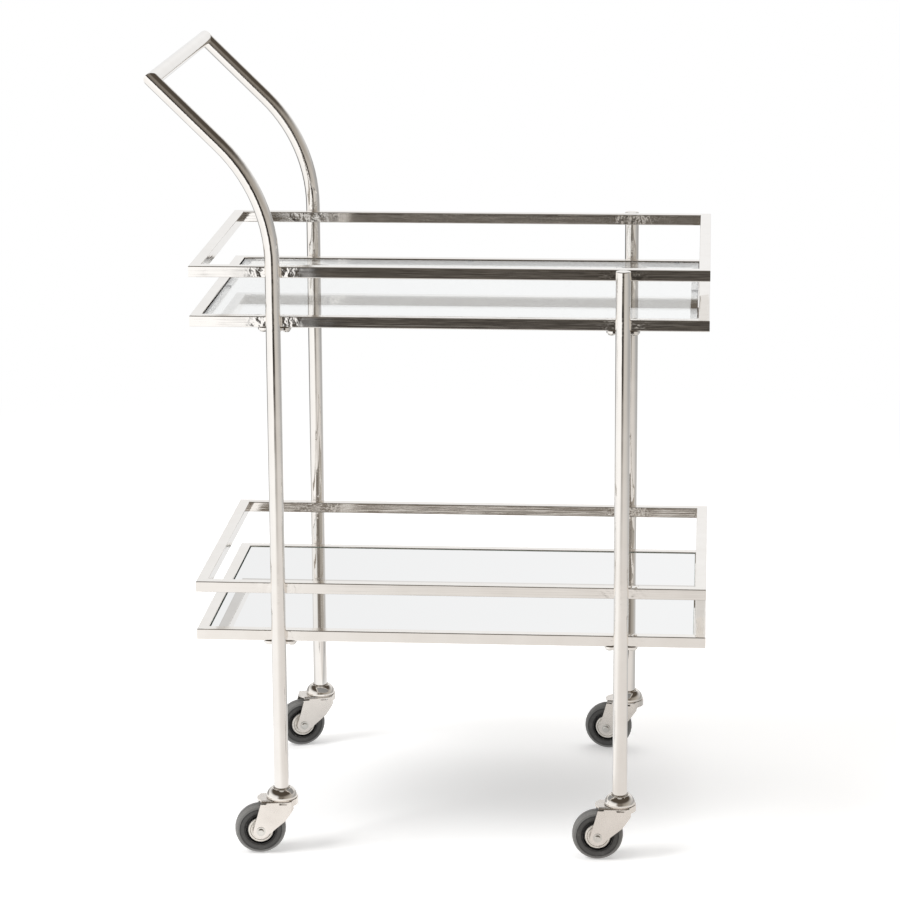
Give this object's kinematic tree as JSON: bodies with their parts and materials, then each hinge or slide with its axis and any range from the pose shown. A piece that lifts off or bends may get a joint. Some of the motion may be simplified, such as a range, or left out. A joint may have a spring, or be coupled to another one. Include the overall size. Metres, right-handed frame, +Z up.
{
  "type": "bar cart",
  "caption": "Two-shelf bar cart: square-tube shelf frames with glass and mirror panels, guard rails, round posts, sloping push handle and swivel casters.",
  "frame": {"origin": "on the floor under the middle of the cart's overall box", "axes": "+X away from the push handle along the shelves, +Y to the left of a person pushing, +Z up"},
  "size_m": [0.596, 0.416, 0.864],
  "materials": {
    "polished_nickel": "mirror polished nickel plate",
    "caster_nickel": "polished nickel plate",
    "caster_steel": "pressed steel, nickel plated, soft sheen",
    "fastener_steel": "turned and plated",
    "bearing_steel": "ground steel",
    "clear_glass": "clear tempered, polished edges",
    "mirror_glass": "silvered glass, polished edges",
    "tyre_rubber": "moulded grey rubber",
    "hub_face": "cream face with turned rings",
    "bush_plastic": "acetal",
    "pad_rubber": "clear soft pad"
  },
  "bodies": {
    "frame": {"caster_domes": "caster_nickel", "caster_sockets": "bearing_steel", "caster_stems": "bearing_steel", "front_post_caps": "polished_nickel", "front_post_left": "polished_nickel", "front_post_right": "polished_nickel", "glass_pads": "pad_rubber", "handle_cross_bar": "polished_nickel", "handle_post_left": "polished_nickel", "handle_post_right": "polished_nickel", "lower_gallery_end_front": "polished_nickel", "lower_gallery_end_rear": "polished_nickel", "lower_gallery_side_left": "polished_nickel", "lower_gallery_side_right": "polished_nickel", "lower_glass_ledges": "polished_nickel", "lower_mirror_panel": "mirror_glass", "lower_shelf_end_front": "polished_nickel", "lower_shelf_end_rear": "polished_nickel", "lower_shelf_side_left": "polished_nickel", "lower_shelf_side_right": "polished_nickel", "mounting_tabs": "polished_nickel", "shelf_screws": "fastener_steel", "swivel_bearing_balls": "bearing_steel", "upper_gallery_end_front": "polished_nickel", "upper_gallery_end_rear": "polished_nickel", "upper_gallery_side_left": "polished_nickel", "upper_gallery_side_right": "polished_nickel", "upper_glass_ledges": "polished_nickel", "upper_glass_panel": "clear_glass", "upper_shelf_end_front": "polished_nickel", "upper_shelf_end_rear": "polished_nickel", "upper_shelf_side_left": "polished_nickel", "upper_shelf_side_right": "polished_nickel"},
    "rear_left_caster": {"rear_left_fork": "caster_steel", "rear_left_axle_bolt": "fastener_steel", "rear_left_axle_nut": "fastener_steel"},
    "rear_left_wheel": {"rear_left_tyre": "tyre_rubber", "rear_left_wheel_hub": "hub_face", "rear_left_wheel_bush": "bush_plastic"},
    "rear_right_caster": {"rear_right_fork": "caster_steel", "rear_right_axle_bolt": "fastener_steel", "rear_right_axle_nut": "fastener_steel"},
    "rear_right_wheel": {"rear_right_tyre": "tyre_rubber", "rear_right_wheel_hub": "hub_face", "rear_right_wheel_bush": "bush_plastic"},
    "front_left_caster": {"front_left_fork": "caster_steel", "front_left_axle_bolt": "fastener_steel", "front_left_axle_nut": "fastener_steel"},
    "front_left_wheel": {"front_left_tyre": "tyre_rubber", "front_left_wheel_hub": "hub_face", "front_left_wheel_bush": "bush_plastic"},
    "front_right_caster": {"front_right_fork": "caster_steel", "front_right_axle_bolt": "fastener_steel", "front_right_axle_nut": "fastener_steel"},
    "front_right_wheel": {"front_right_tyre": "tyre_rubber", "front_right_wheel_hub": "hub_face", "front_right_wheel_bush": "bush_plastic"}
  },
  "joints": [
    {"name": "rear_left_swivel", "type": "hinge", "parent": "frame", "child": "rear_left_caster", "pos_m": [-0.1665, 0.186, 0.06], "axis": [0, 0, 1], "continuous": true},
    {"name": "rear_left_spin", "type": "hinge", "parent": "rear_left_caster", "child": "rear_left_wheel", "pos_m": [-0.18905, 0.17779, 0.028], "axis": [-0.342, 0.9397, 0], "continuous": true},
    {"name": "rear_right_swivel", "type": "hinge", "parent": "frame", "child": "rear_right_caster", "pos_m": [-0.1665, -0.186, 0.06], "axis": [0, 0, 1], "continuous": true},
    {"name": "rear_right_spin", "type": "hinge", "parent": "rear_right_caster", "child": "rear_right_wheel", "pos_m": [-0.19021, -0.18975, 0.028], "axis": [-0.1564, 0.9877, 0], "continuous": true},
    {"name": "front_left_swivel", "type": "hinge", "parent": "frame", "child": "front_left_caster", "pos_m": [0.2065, 0.186, 0.06], "axis": [0, 0, 1], "continuous": true},
    {"name": "front_left_spin", "type": "hinge", "parent": "front_left_caster", "child": "front_left_wheel", "pos_m": [0.1828, 0.18975, 0.028], "axis": [0.1564, 0.9877, 0], "continuous": true},
    {"name": "front_right_swivel", "type": "hinge", "parent": "frame", "child": "front_right_caster", "pos_m": [0.2065, -0.186, 0.06], "axis": [0, 0, 1], "continuous": true},
    {"name": "front_right_spin", "type": "hinge", "parent": "front_right_caster", "child": "front_right_wheel", "pos_m": [0.18252, -0.18684, 0.028], "axis": [-0.0349, 0.9994, 0], "continuous": true}
  ]
}
